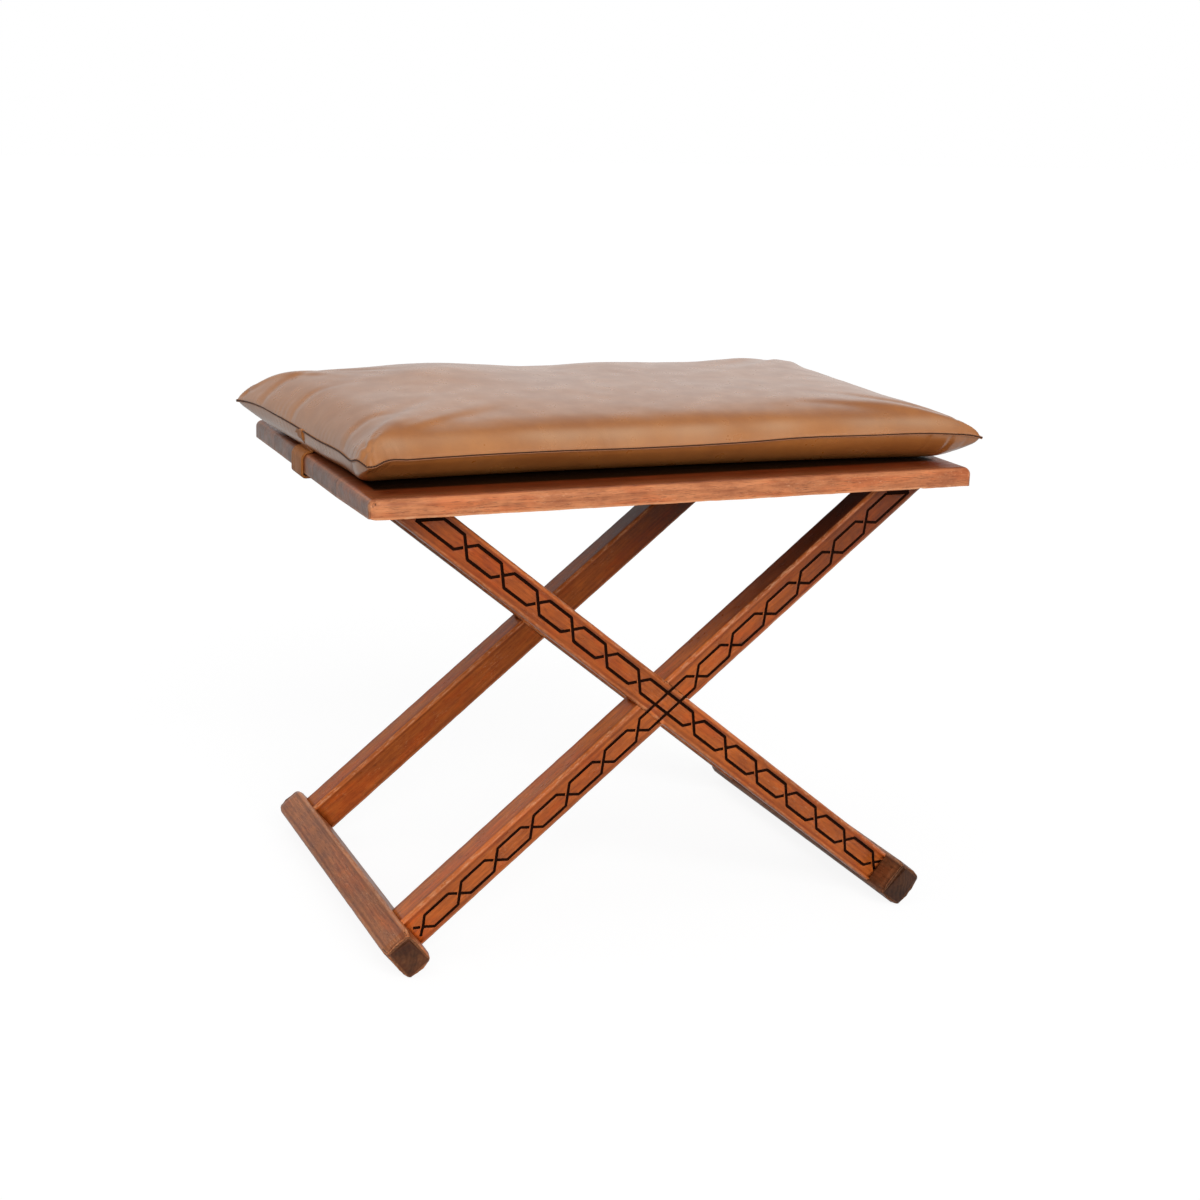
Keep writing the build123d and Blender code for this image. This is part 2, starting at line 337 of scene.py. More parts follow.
def triples(rows, field):
    """One field of a mesh's rows, as an array with three columns."""
    values = np.empty(len(rows) * 3, np.float32)
    rows.foreach_get(field, values)
    return values.reshape(-1, 3).astype(float)


def points_of(mesh):
    return triples(mesh.vertices, "co")


def normals_of(mesh):
    return triples(mesh.vertices, "normal")


def read_vectors(mesh, name):
    return triples(mesh.attributes[name].data, "vector")


def set_points(mesh, points):
    mesh.vertices.foreach_set("co", points.ravel())


def store(mesh, name, values):
    layer = mesh.attributes.new(name, "FLOAT_VECTOR", "POINT")
    layer.data.foreach_set("vector", np.asarray(values, np.float32).ravel())


def wavy(points, scale, seed):
    """Smooth noise from -1 to 1 at each point."""
    offset = Vector((seed * 7.3, seed * 3.1, seed * 1.7))
    return np.array([noise.noise(Vector(point) * scale + offset) for point in points])


def mark_grain(piece, centre, axes, half, log_centre, shift=0.0):
    """Keeps each point's place in the piece, the piece's half size and the place in its log."""
    local = (points_of(piece.data) - np.array(centre)) @ np.array(axes, float).T
    store(piece.data, "place", local)
    store(piece.data, "half", np.tile(half, (len(local), 1)))
    store(piece.data, "grain", local + np.array((shift, *log_centre)))


# How far in m the wear reaches in from an arris and from a corner.
ARRIS_REACH, CORNER_REACH = 0.0058, 0.017


def weather(piece, amount, chips=(), corner=0.0):
    """Wears the arrises and corners unevenly and knocks small chips out: centre in mm, size and depth."""
    mesh = piece.data
    points, normals = points_of(mesh), normals_of(mesh)
    inside = np.sort(read_vectors(mesh, "half") - np.abs(read_vectors(mesh, "place")), axis=1)
    near = np.clip(1 - (inside[:, 0] + inside[:, 1]) / ARRIS_REACH, 0, 1)
    push = amount * near * np.clip(0.35 + 0.9 * wavy(points, 55, 7) + 0.7 * wavy(points, 170, 8), 0, 1.6)
    push += corner * np.clip(1 - inside.sum(axis=1) / CORNER_REACH, 0, 1)
    for centre, size, depth in chips:
        gap = np.linalg.norm(points - np.array(centre) * MM, axis=1)
        push += depth * MM * np.exp(-(gap / (size * MM)) ** 2)
    set_points(mesh, points - normals * push[:, None])
    mesh.update()


def cuts_along(centre, axis, low, high, step, close_to=()):
    """Places for slices from low to high, with finer ones near the given places, all in mm."""
    fine = (-5, -3.6, -2.4, -1.2, 0.0, 1.2, 2.4, 3.6, 5)
    stations = [*np.arange(low + step / 2, high, step), *(place + gap for place in close_to for gap in fine)]
    return [Vector(centre) + Vector(axis) * (station * MM) for station in stations if low < station < high]


def crisp_edges(piece, degrees=35):
    piece.data.set_sharp_from_angle(angle=math.radians(degrees))
    even = piece.modifiers.new("even normals", "WEIGHTED_NORMAL")
    even.keep_sharp = True
    even.weight = 80


def bake_modifiers(piece):
    """Replaces the piece's mesh with what its modifiers make of it."""
    graph = bpy.context.evaluated_depsgraph_get()
    mesh = bpy.data.meshes.new_from_object(piece.evaluated_get(graph))
    piece.modifiers.clear()
    old, piece.data = piece.data, mesh
    bpy.data.meshes.remove(old)
    mesh.name = piece.name


def hand_over(piece, slot, *nodes):
    """The piece rides on the stool's body and stands for its CAD nodes."""
    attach(piece, "root")
    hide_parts(*nodes)


# Carved lines

# Each strand of hexagons: its nodes along the leg, its middle and half width across the leg, the height at
# which it ends under the board and the width of its lines, all in mm.
STRANDS = {
    1: ((259.6, 214.4, 169.7, 125.3, 80.8, 36.35, -39.0, -84.7, -129.8, -174.2, -219.4, -264.1, -309.6),
        1.75, 8.0, 423.2, 3.0),
    -1: ((262.6, 218.4, 173.9, 129.5, 84.7, 40.2, -36.0, -80.2, -125.4, -170.5, -215.6, -260.8, -306.3),
         -1.95, 7.85, 422.0, 2.8),
}
# How far an arm runs along the leg from its node to the strand's side.
NODE_ARM = 8.2
# The joint line beside the leg that runs through: where each piece of it starts and ends along the leg.
JOINT_LINE = ((15.5, 11.0), (8.5, -1.0), (-4.0, -9.5), (-12.0, -16.5))


def stroke(start, end, width):
    """A carved line's outline as one quad."""
    along = (end - start).normalized()
    side = Vector((-along.y, along.x)) * (width / 2)
    return start + side, start - side, end - side, end + side


def carved_network():
    """The outline of every carved line on one face, in the face's own x and z in mm."""
    quads = []
    crossing = CROSSING_HEIGHT / MM
    for foot, (nodes, middle, half, top, width) in STRANDS.items():
        climb, over = (Vector(axis).xz for axis in leg_axes(foot))
        high, low = middle + half, middle - half

        def place(along, across):
            return climb * along + over * across + Vector((0, crossing))

        # long runs, from the board down to the last node, straight through the crossing
        tops = {across: (top - crossing - across * SLOPE_COS) / SLOPE_SIN for across in (high, low)}
        for index, along in enumerate(nodes):
            for across in (high, low):
                start = nodes[index - 1] - NODE_ARM if index else tops[across]
                quads.append(stroke(place(start, across), place(along + NODE_ARM, across), width))
        quads.append(stroke(place(tops[high], high), place(tops[low], low), width * 1.35))
        # arms at each node, the lowest ones shorter
        for along in nodes:
            down, tail = (NODE_ARM * 0.86, half * 0.72) if along == nodes[-1] else (NODE_ARM, half)
            centre = place(along, middle)
            ends = (place(along + NODE_ARM, high), place(along + NODE_ARM, low),
                    place(along - down, middle + tail), place(along - down, middle - tail))
            leftmost = min(ends, key=lambda end: end.x)
            for end in ends:
                way = (end - centre).normalized()
                # the arm on the photograph's left stops short of the node
                gap = 2.5 if end is leftmost else 0.0
                quads.append(stroke(centre + way * gap, end + way * width * 0.2, width))
    climb, over = (Vector(axis).xz for axis in leg_axes(1))
    side = over * (LEG_WIDTH / MM / 2) + Vector((0, crossing))
    for start, end in JOINT_LINE:
        quads.append(stroke(side + climb * start, side + climb * end, 0.45))
    return quads


def groove_cutter(face, depth):
    """The carved lines of one face as a closed solid that is taken out of the legs."""
    corners = [corner for quad in carved_network() for corner in quad]
    quads = np.arange(len(corners)).reshape(-1, 4).tolist()
    spots, _, triangles, _, _, sources = delaunay_2d_cdt(corners, [], quads, 1, 1e-5)
    skin = bmesh.new()
    outer, inner = ([skin.verts.new((-face * spot.x * MM, face * y, spot.y * MM)) for spot in spots]
                    for y in (LEG_FACE + 0.002, LEG_FACE - depth))
    rims = {}
    for (a, b, c), source in zip(triangles, sources):
        if not source:
            continue
        skin.faces.new((outer[a], outer[b], outer[c]))
        skin.faces.new((inner[c], inner[b], inner[a]))
        for pair in ((a, b), (b, c), (c, a)):
            rims.setdefault(frozenset(pair), []).append(pair)
    for (a, b), *others in rims.values():
        if not others:
            skin.faces.new((outer[b], outer[a], inner[a], inner[b]))
    for vert in [vert for vert in skin.verts if not vert.link_faces]:
        skin.verts.remove(vert)
    bmesh.ops.recalc_face_normals(skin, faces=skin.faces)
    return skin


# Sizes and colours

def colour_property(name, description, *tone):
    return bpy.props.FloatVectorProperty(name=name, description=description, default=(*tone, 1.0),
                                         size=4, subtype="COLOR", min=0, max=1)


def length_property(name, description, default, least, most):
    return bpy.props.FloatProperty(name=name, description=description, default=default,
                                   min=least, max=most, unit="LENGTH")


class StoolWood(bpy.types.PropertyGroup):
    frame_light: colour_property("Frame wood, light", "Lighter tone of the legs", 0.60, 0.145, 0.024)
    frame_dark: colour_property("Frame wood, dark", "Darker tone of the legs", 0.21, 0.040, 0.006)
    board_light: colour_property("Board wood, light", "Lighter tone of the seat board", 0.80, 0.31, 0.128)
    board_dark: colour_property("Board wood, dark", "Darker tone of the seat board", 0.25, 0.055, 0.015)
    worn: colour_property("Worn arris", "Pale wood where the varnish is rubbed off", 0.70, 0.36, 0.19)
    scorch: colour_property("Carved line", "Scorched wood in the carved lines", 0.014, 0.004, 0.002)
    groove_depth: length_property("Carved depth", "Depth of the carved lines", 0.0019, 0.0003, 0.004)


class StoolCushion(bpy.types.PropertyGroup):
    leather: colour_property("Leather", "Tan leather where it is lit and unworn", 0.50, 0.182, 0.042)
    leather_dark: colour_property("Leather hollows", "Leather in creases and hollows", 0.34, 0.112, 0.027)
    crown: length_property("Crown", "How far the cushion rises above its seam", 0.0315, 0.01, 0.06)
    stitch: length_property("Stitch", "Distance from one stitch to the next", 0.0024, 0.001, 0.01)
    pebble: length_property("Leather grain", "Size of one pebble of the grain", 0.0016, 0.0005, 0.005)


# Painted shade under the board: what each leg's colour is multiplied by towards its top end.
LEG_TOP_SHADE = {"front_leg_left_foot": 0.50, "front_leg_right_foot": 0.92,
                 "rear_leg_left_foot": 0.12, "rear_leg_right_foot": 0.22}
STAVE_TONES = (1.0, 0.70, 0.95, 0.66, 0.85)
# The foot bars' light and dark wood, and for each bar its tone, its wear and the tone of its ends. The left
# bar's tone is raised as painted light and the right bar's lowered as painted shade.
BAR_LIGHT, BAR_DARK = (0.54, 0.198, 0.078, 1), (0.13, 0.035, 0.012, 1)
BAR_TONES = ((1.36, 0.6, 0.12), (0.58, 0.3, 0.14))
# Chips on the arrises: where in mm, how wide and how deep in mm.
BOARD_CHIPS = (((-299, -200, 433), 4.5, 1.6), ((-298, -199, 449), 3.5, 0.9), ((-176, -201, 449), 2.6, 0.9),
               ((244, -201, 433), 2.4, 0.7), ((299, -120, 449), 3.0, 0.8), ((-299, 120, 433), 3.2, 0.9))


# Operators

class STOOL_OT_board(bpy.types.Operator):
    """Make the seat board's five staves"""
    bl_idname = "stool.board"
    bl_label = "Seat board"

    def execute(self, context):
        wood = context.scene.stool_wood
        centre = (BOARD_LOW + BOARD_HIGH) / 2
        half = (BOARD_HIGH - BOARD_LOW) / 2
        for index, (node, tone) in enumerate(zip(STAVES, STAVE_TONES)):
            # the fourth colour is the painted shade on the board's top under the cushion
            finish = wood_finish(
                node.replace("seat_stave", "stave") + " wood", shade(wood.board_light, tone),
                shade(wood.board_dark, tone), wood.worn, 0.006, 0.75, 0.42, (0.34, 0.16, 0.09, 1),
                0.34, 0.6, arris=(2.2 * MM, 4.4 * MM), shine=0.55, seat_darkening=0.0, end_wear_and_highlight=0.6)
            skin = merged_copy(node)
            inner = [corner.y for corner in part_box(node)
                     if BOARD_LOW.y + 0.001 < corner.y < BOARD_HIGH.y - 0.001]
            edges = [edge for edge in skin.edges if edge.calc_face_angle(0) > 0.5 and any(
                all(abs(vert.co.y - y) < 1e-6 for vert in edge.verts) for y in inner)]
            bmesh.ops.bevel(skin, geom=edges, offset=0.00035, segments=1, affect="EDGES")
            slice_skin(skin, (1, 0, 0), cuts_along(centre, (1, 0, 0), -299, 299, 6.0,
                                                   [chip[0][0] for chip in BOARD_CHIPS]))
            piece = piece_from(skin, node + "_worn", finish)
            mark_grain(piece, centre, ((1, 0, 0), (0, 1, 0), (0, 0, 1)), half,
                       (0.05 + 0.31 * index, 0.07 - 0.03 * index), 1.7 * index)
            weather(piece, 0.0005, BOARD_CHIPS)
            crisp_edges(piece)
            hand_over(piece, "board_wood", node)
        return {"FINISHED"}


class STOOL_OT_legs(bpy.types.Operator):
    """Make the four half-lapped legs and carve their outer faces"""
    bl_idname = "stool.legs"
    bl_label = "Carved legs"

    def execute(self, context):
        wood = context.scene.stool_wood
        scorched = groove_finish("scorched groove", wood.scorch)
        cutters = {}
        for face in (-1, 1):
            cutters[face] = piece_from(groove_cutter(face, wood.groove_depth), f"cutter_{face}",
                                       scorched, scorched)
            for polygon in cutters[face].data.polygons:
                polygon.material_index = 1
                polygon.use_smooth = False
        for index, node in enumerate(LEGS):
            face = -1 if node.startswith("front") else 1
            foot = -1 if node.endswith("left_foot") else 1
            climb, over = leg_axes(foot)
            centre = (0, face * (LEG_FACE - LEG_THICKNESS / 2), CROSSING_HEIGHT)
            # the rear legs take a darker copy of the wood (0.85) as painted shade, and their outer faces take
            # only part of the painted shade at the top
            tone, outer_shade_share, shine = (1.0, 1.0, 0.4) if face < 0 else (0.85, 0.3, 0.22)
            finish = wood_finish(
                node.replace("_", " ") + " wood", shade(wood.frame_light, tone), shade(wood.frame_dark, tone),
                wood.worn, 0.005, 0.42, gloss=0.32, shine=shine,
                top_shading=((0.02, 0.27), LEG_TOP_SHADE[node], outer_shade_share))
            piece = piece_from(merged_copy(node), node + "_carved", finish, scorched)
            cut = piece.modifiers.new("carve", "BOOLEAN")
            cut.operation, cut.solver, cut.object = "DIFFERENCE", "EXACT", cutters[face]
            bake_modifiers(piece)
            skin = bmesh.new()
            skin.from_mesh(piece.data)
            slice_skin(skin, climb, cuts_along(centre, climb, -360, 320, 6.5))
            skin.to_mesh(piece.data)
            skin.free()
            mark_grain(piece, centre, (climb, over, (0, 1, 0)), (0.5, LEG_WIDTH / 2, LEG_THICKNESS / 2),
                       (0.09 + 0.27 * index, 0.05 * (index - 1)), 2.3 * index)
            weather(piece, 0.00045)
            crisp_edges(piece, 40)
            hand_over(piece, "frame_wood", node)
        for cutter in cutters.values():
            bpy.data.objects.remove(cutter)
        return {"FINISHED"}


class STOOL_OT_foot_bars(bpy.types.Operator):
    """Make the two tilted foot bars"""
    bl_idname = "stool.foot_bars"
    bl_label = "Foot bars"

    def execute(self, context):
        wood = context.scene.stool_wood
        for index, (node, (tone, wear, end_tone)) in enumerate(zip(FOOT_BARS, BAR_TONES)):
            finish = wood_finish(
                node.replace("_", " ") + " wood", shade(BAR_LIGHT, tone), shade(BAR_DARK, tone), wood.worn,
                0.004, wear, end_tone, gloss=0.38, flecks=wear, arris=(4.5 * MM, 4.5 * MM), shine=0.28,
                end_wear_and_highlight=0.25)
            skin = merged_copy(node)
            ends = [corner.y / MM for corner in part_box(node)]
            slice_skin(skin, (0, 1, 0), cuts_along((0, 0, 0), (0, 1, 0), *ends, 6.0,
                                                   (ends[0] + 5, ends[0] + 14, ends[1] - 14, ends[1] - 5)))
            piece = piece_from(skin, node + "_worn", finish)
            axes = np.array(((0, 1, 0), *leg_axes(-1 if node.startswith("left") else 1)))
            local = points_of(piece.data) @ axes.T
            low, high = local.min(0), local.max(0)
            mark_grain(piece, (low + high) / 2 @ axes, axes, (high - low) / 2, (0.055, -0.042), 3.1 * index)
            weather(piece, 0.0007, corner=0.0035)
            crisp_edges(piece)
            hand_over(piece, "frame_wood", node)
        return {"FINISHED"}


# The seam's run along each side: how far along from -1 to 1, then x, y and z in mm.
SEAM_FRONT = ((-1, -294, -178, 474), (-.975, -287.5, -178.5, 474.4), (-.95, -279, -176.3, 477.6),
              (-.87, -254.6, -173.5, 477.9), (-.66, -190.7, -168.5, 478.2), (-.44, -123.6, -165.8, 477.9),
              (-.15, -34.1, -165.4, 476.9), (.07, 33.2, -166.4, 477.3), (.23, 82.3, -167.5, 478.4),
              (.36, 121, -169, 480.1), (.61, 198.7, -173.8, 480.6), (.89, 282.2, -182.8, 480.1),
              (.97, 308, -186.6, 478.0), (1, 317, -188, 476.0))
SEAM_LEFT = ((-1, -294, -178, 474), (-.94, -298.5, -166, 477.6), (-.87, -299.5, -153, 474.9),
             (-.76, -296.3, -134, 471.6), (-.54, -294.9, -96, 471.9), (-.17, -299, -30.7, 471.6),
             (.17, -304.1, 29.8, 474.4), (.46, -309.5, 82, 476.3), (.67, -314.2, 118.7, 477.7),
             (.91, -321.2, 162, 475.9), (1, -324, 178, 474))
SEAM_BACK = ((-1, -324, 178, 474), (-.95, -309, 176, 477), (-.8, -262, 171.5, 478.2),
             (-.4, -131, 166.5, 478.6), (0, -4, 166, 478), (.45, 139, 169.5, 478.8),
             (.8, 250, 176.5, 478.6), (.95, 298, 182, 477), (1, 314, 184, 474.3))
SEAM_RIGHT = ((-1, 317, -188, 476.0), (-.9, 314, -169, 477.2), (-.6, 308.5, -113, 476.6),
              (-.1, 305.5, -20, 475.8), (.3, 305.3, 54, 476.2), (.7, 308.3, 128, 477),
              (.92, 312.2, 169.5, 476.8), (1, 314, 184, 474.3))


def smooth_run(stations, value):
    """A smooth line through the stations, read at each value."""
    table = np.array(stations, float)
    x, gaps = table[:, 0], np.diff(table[:, 0])
    found = np.clip(np.searchsorted(x, value, side="right") - 1, 0, len(x) - 2)
    share = ((value - x[found]) / gaps[found])[:, None]
    y = table[:, 1:]
    slopes = np.diff(y, axis=0) / gaps[:, None]
    tangents = np.vstack((slopes[:1], (slopes[:-1] * gaps[1:, None] + slopes[1:] * gaps[:-1, None])
                          / (gaps[1:] + gaps[:-1])[:, None], slopes[-1:]))
    gap = gaps[found][:, None]
    return ((1 + 2 * share) * (1 - share) ** 2 * y[found] + share * (1 - share) ** 2 * gap * tangents[found]
            + share ** 2 * (3 - 2 * share) * y[found + 1]
            + share ** 2 * (share - 1) * gap * tangents[found + 1])


def cushion_seam(s, t):
    """The seam's four sides filled across as one patch, in mm."""
    u, v = (s + 1) / 2, (t + 1) / 2
    patch = ((1 - v)[:, None] * smooth_run(SEAM_FRONT, s) + v[:, None] * smooth_run(SEAM_BACK, s)
             + (1 - u)[:, None] * smooth_run(SEAM_LEFT, t) + u[:, None] * smooth_run(SEAM_RIGHT, t))
    for across, deep, corner in ((1 - u, 1 - v, SEAM_FRONT[0]), (u, 1 - v, SEAM_FRONT[-1]),
                                 (1 - u, v, SEAM_BACK[0]), (u, v, SEAM_BACK[-1])):
        patch -= np.outer(across * deep, corner[1:])
    return patch


def even_corner(first, second):
    """Two rises joined so that a corner is rounder than either side."""
    return 1 / np.sqrt(1 / np.maximum(first, 1e-4) ** 2 + 1 / np.maximum(second, 1e-4) ** 2 - 1)


def swell(gap, inset, fullness, turn):
    """Rises from 0 at the seam to 1 at the inset."""
    return (1 - (1 - np.clip(gap / inset, 0, 1)) ** fullness) ** turn


# The cushion's half length and half depth in mm, by which the gap to its seam is reckoned.
HALF_LONG, HALF_DEEP = 309, 176


def gaps_inside(s, t):
    """How far each place is inside the seam at the ends, and at the front or back, in mm."""
    return (1 - np.abs(s)) * HALF_LONG, (1 - np.abs(t)) * HALF_DEEP


def bump_at(s, t, middle, size):
    return np.exp(-((s - middle[0]) / size[0]) ** 2 - ((t - middle[1]) / size[1]) ** 2)


def cushion_form(s, t, crown):
    """Top and underside of the stuffed cushion over its seam patch, in mm."""
    seam = cushion_seam(s, t)
    gap_x, gap_y = gaps_inside(s, t)
    tuck = np.where(s > 0, 32, 20 + 15 * (t + 0.35) ** 2)
    front = 0.80 * swell(gap_y, 46, 2.5, 0.60) + 0.20 * swell(gap_y, 150, 1.8, 1.0)
    end = np.where(s > 0, swell(gap_x, 86 - 18 * t, 2.6, 0.64), swell(gap_x, 46, 2.3, 0.78))
    rise = even_corner(end, np.where(t < 0, front, swell(gap_y, 60, 2.6, 0.62)))
    drop = even_corner(swell(gap_x, tuck, 2.5, 0.58), swell(gap_y, 51 - 8 * s, 2.1, 0.70))
    height = (477 + crown / MM + 9.2 * bump_at(s, t, (-.48, .45), (.29, .6))
              + 1.4 * bump_at(s, t, (.64, .6), (.26, .5)) + 3.8 * bump_at(s, t, (.15, .6), (.18, .5)))
    rest = BOARD_HIGH.z / MM + 0.3
    top, low = seam.copy(), seam.copy()
    top[:, 2] += rise * (height - seam[:, 2])
    low[:, 2] += drop * (rest - seam[:, 2])
    return top, low


CUSHION_CELLS = (132, 80)


def cushion_grid():
    """The places from -1 to 1 across the cushion, closer together near its seam."""
    def line(count):
        return np.sin(np.linspace(-1, 1, count + 1) * 1.2) / math.sin(1.2)
    return (grid.ravel() for grid in np.meshgrid(*(line(n) for n in CUSHION_CELLS), indexing="ij"))


def seam_loop():
    """The seam's points in order round the cushion, in mm."""
    across, deep = CUSHION_CELLS
    s, t = cushion_grid()
    index = np.arange(len(s)).reshape(across + 1, deep + 1)
    loop = np.concatenate((index[:, 0], index[-1, 1:], index[-2::-1, -1], index[0, -2:0:-1]))
    return cushion_seam(s[loop], t[loop])


def cushion_skin(crown):
    """The cushion's closed leather cover, with each point's place across it kept as 'panel'."""
    across, deep = CUSHION_CELLS
    s, t = cushion_grid()
    top, low = cushion_form(s, t, crown)
    index = np.arange(len(s)).reshape(across + 1, deep + 1)
    edge = (np.abs(s) > 0.99999) | (np.abs(t) > 0.99999)
    skin = bmesh.new()
    panel = skin.verts.layers.float_vector.new("panel")
    crease = skin.edges.layers.float.new("crease_edge")
    tops = [skin.verts.new(point * MM) for point in top]
    lows = [tops[i] if edge[i] else skin.verts.new(low[i] * MM) for i in range(len(s))]
    for i in range(len(s)):
        lows[i][panel] = (s[i], t[i], -1.0)
        tops[i][panel] = (s[i], t[i], 0.0 if edge[i] else 1.0)
    for i in range(across):
        for j in range(deep):
            a, b, c, d = index[i, j], index[i + 1, j], index[i + 1, j + 1], index[i, j + 1]
            skin.faces.new((tops[a], tops[b], tops[c], tops[d]))
            skin.faces.new((lows[d], lows[c], lows[b], lows[a]))
    # the seam stays sharp under the finer mesh, apart from its corners
    for line in skin.edges:
        spots = [vert[panel] for vert in line.verts]
        if all(spot.z == 0 and abs(spot.x * spot.y) < 0.99999 for spot in spots):
            line[crease] = 1.0
    return skin


def level_out(mesh, values, rounds):
    """The values averaged over their neighbours, so many times."""
    edges = np.empty(len(mesh.edges) * 2, np.int32)
    mesh.edges.foreach_get("vertices", edges)
    first, second = edges.reshape(-1, 2).T
    count = np.bincount(edges, minlength=len(values))[:, None]
    for _ in range(rounds):
        total = np.column_stack([np.bincount(first, column[second], len(column))
                                 + np.bincount(second, column[first], len(column)) for column in values.T])
        values = 0.5 * values + 0.5 * total / count
    return values


def keep_above_board(points, clearance, low=True):
    """Lifts the low points over the board to its top and a clearance."""
    over = low & (np.abs(points[:, 0]) < BOARD_HIGH.x) & (np.abs(points[:, 1]) < BOARD_HIGH.y)
    points[over, 2] = np.maximum(points[over, 2], BOARD_HIGH.z + clearance)


def stuff_by_cloth(piece, pressure, cap, frames=20):
    """Blows the cover up against its held seam and lets its slack edge pucker."""
    mesh = piece.data
    s, t, side = read_vectors(mesh, "panel").T
    gap, corner = np.minimum(*gaps_inside(s, t)), np.hypot(*gaps_inside(s, t))
    slack = 0.75 * np.exp(-gap / 16) + 0.9 * np.exp(-corner / 42)
    slack = np.clip(slack * (0.7 + 0.6 * wavy(points_of(mesh), 70, 1)), 0, 1)
    held = np.where(gap < 0.5, 1.0, 0.0)
    held[(side < 0) & (gap > 56)] = 1.0
    for name, weights in (("held", held), ("slack", slack)):
        group = piece.vertex_groups.new(name=name)
        for index, weight in enumerate(weights):
            if weight > 0:
                group.add([index], float(weight), "REPLACE")
    before = points_of(mesh)
    cloth = piece.modifiers.new("stuffing", "CLOTH")
    cloth.point_cache.frame_start, cloth.point_cache.frame_end = 1, frames
    for name, value in {
            "quality": 5, "mass": 0.25, "tension_stiffness": 22, "compression_stiffness": 22,
            "shear_stiffness": 8, "bending_stiffness": 0.6, "use_pressure": True,
            "uniform_pressure_force": pressure, "vertex_group_mass": "held",
            "vertex_group_shrink": "slack", "shrink_min": 0.0, "shrink_max": -0.07}.items():
        setattr(cloth.settings, name, value)
    cloth.settings.effector_weights.gravity = 0
    cloth.collision_settings.use_collision = False
    for frame_number in range(1, frames + 1):
        bpy.context.scene.frame_set(frame_number)
    bake_modifiers(piece)
    mesh = piece.data
    # the broad part of the movement goes, and the folds stay
    moved = points_of(mesh) - before
    moved -= 0.85 * level_out(mesh, moved, 90)
    moved = np.where((gap < 0.5)[:, None], moved, level_out(mesh, moved, 2))
    most = np.where(side < 0, 0.35 * cap, cap)
    moved *= (most / (most + np.linalg.norm(moved, axis=1)))[:, None]
    after = before + moved
    keep_above_board(after, 0.0002)
    set_points(mesh, after)
    piece.vertex_groups.clear()


# Creases in the leather by the panel, 1 for the top and -1 for the underside, and the side that they start
# from. Each has its place along that side from -1 to 1, and its width, reach and depth in mm.
CREASES = {
    (-1, "front"): ((-.962, 1.3, 13, 1.3), (-.945, 1.2, 11, 1.2), (-.925, 1.2, 9, 0.9),
        (.835, 2.2, 17, 0.9), (.905, 2.4, 20, 1.1), (.955, 2.0, 14, 0.9)),
    (1, "front"): ((-.972, 1.6, 20, 1.5), (-.935, 1.4, 12, 0.8), (-.905, 1.4, 10, 0.6),
        (-.25, 2.4, 14, 0.7), (-.22, 2.2, 12, 0.5), (.94, 2.5, 16, 0.7)),
    (1, "left"): ((-.58, 7.0, 46, 1.5), (.22, 6.0, 42, 1.2), (.66, 6.5, 52, 1.5), (-.96, 1.8, 22, 1.3),
        (-.90, 1.8, 15, 0.8), (.93, 2.5, 18, 0.8)),
    (1, "back"): ((-.9, 2.2, 16, 0.9), (.9, 2.2, 18, 0.3)),
    (1, "right"): ((-.9, 2.2, 18, 0.9), (.91, 2.2, 16, 0.3)),
    (-1, "back"): ((-.9, 2.2, 15, 0.9), (.88, 2.2, 15, 0.9)),
}
# Each side's axis and its sign on that axis.
SIDES = {"left": (0, -1), "right": (0, 1), "front": (1, -1), "back": (1, 1)}


def crease_cover(piece):
    """Fine puckers along the seam, fans of folds at the corners and a gently uneven crown."""
    mesh = piece.data
    points, normals = points_of(mesh), normals_of(mesh)
    s, t, side = read_vectors(mesh, "panel").T
    gap_x, gap_y = gaps_inside(s, t)
    gap = np.minimum(gap_x, gap_y)
    push = 0.9 * wavy(points, 9, 2) * np.clip(gap / 30, 0, 1) * (side > 0)
    push += 0.35 * wavy(points, 38, 3) * np.clip(gap / 12, 0, 1) * (side > 0)
    along = np.where(gap_x < gap_y, points[:, 1], points[:, 0]) / MM
    ripple = np.sin(2 * math.pi * along / 8.5 + 4 * wavy(points, 25, 4))
    corner = np.hypot(gap_x, gap_y)
    push += (0.30 * ripple * np.clip(0.5 + wavy(points, 22, 5), 0, 1)
             * np.exp(-gap / 7) * np.clip(gap / 1.2, 0, 1) * np.clip(corner / 60, 0, 1))
    over = np.where(side > 0, 1.0, 0.25)
    for corner_s in (-1, 1):
        for corner_t in (-1, 1):
            dx, dy = (1 - corner_s * s) * HALF_LONG, (1 - corner_t * t) * HALF_DEEP
            reach, angle = np.hypot(dx, dy), np.arctan2(dy, dx)
            fan = np.sin(angle * 15 + 2.5 * wavy(points, 14, 6))
            push += 0.6 * over * fan * np.exp(-((reach - 20) / 16) ** 2) * np.clip(gap / 4, 0, 1)
    for (panel, name), creases in CREASES.items():
        axis, way = SIDES[name]
        away, near, span = ((gap_x, t, HALF_DEEP), (gap_y, s, HALF_LONG))[axis]
        on = (side * panel > 0) & ((s, t)[axis] * way > 0)
        for at, width, reach, depth in creases:
            fold = np.exp(-((near - at) * span / width) ** 2) * np.exp(-(away / reach) ** 2)
            push -= depth * on * fold * np.clip(away / 1.5, 0, 1)
    after = points + normals * (push * MM)[:, None]
    keep_above_board(after, 0.0001, side < 0)
    set_points(mesh, after)
    mesh.update()
    # a pale band just above the front seam: rubbed leather, and a painted sheen
    rubbed_sheen_band = np.exp(-((gap_y - 6) / 5.5) ** 2) * (t < 0) * (side > 0) * np.clip(gap_x / 30, 0, 1)
    rubbed_sheen_band *= np.clip(0.75 + 0.8 * wavy(points, 20, 9), 0, 1)
    store(mesh, "rubbed", np.column_stack((rubbed_sheen_band, rubbed_sheen_band, rubbed_sheen_band)))


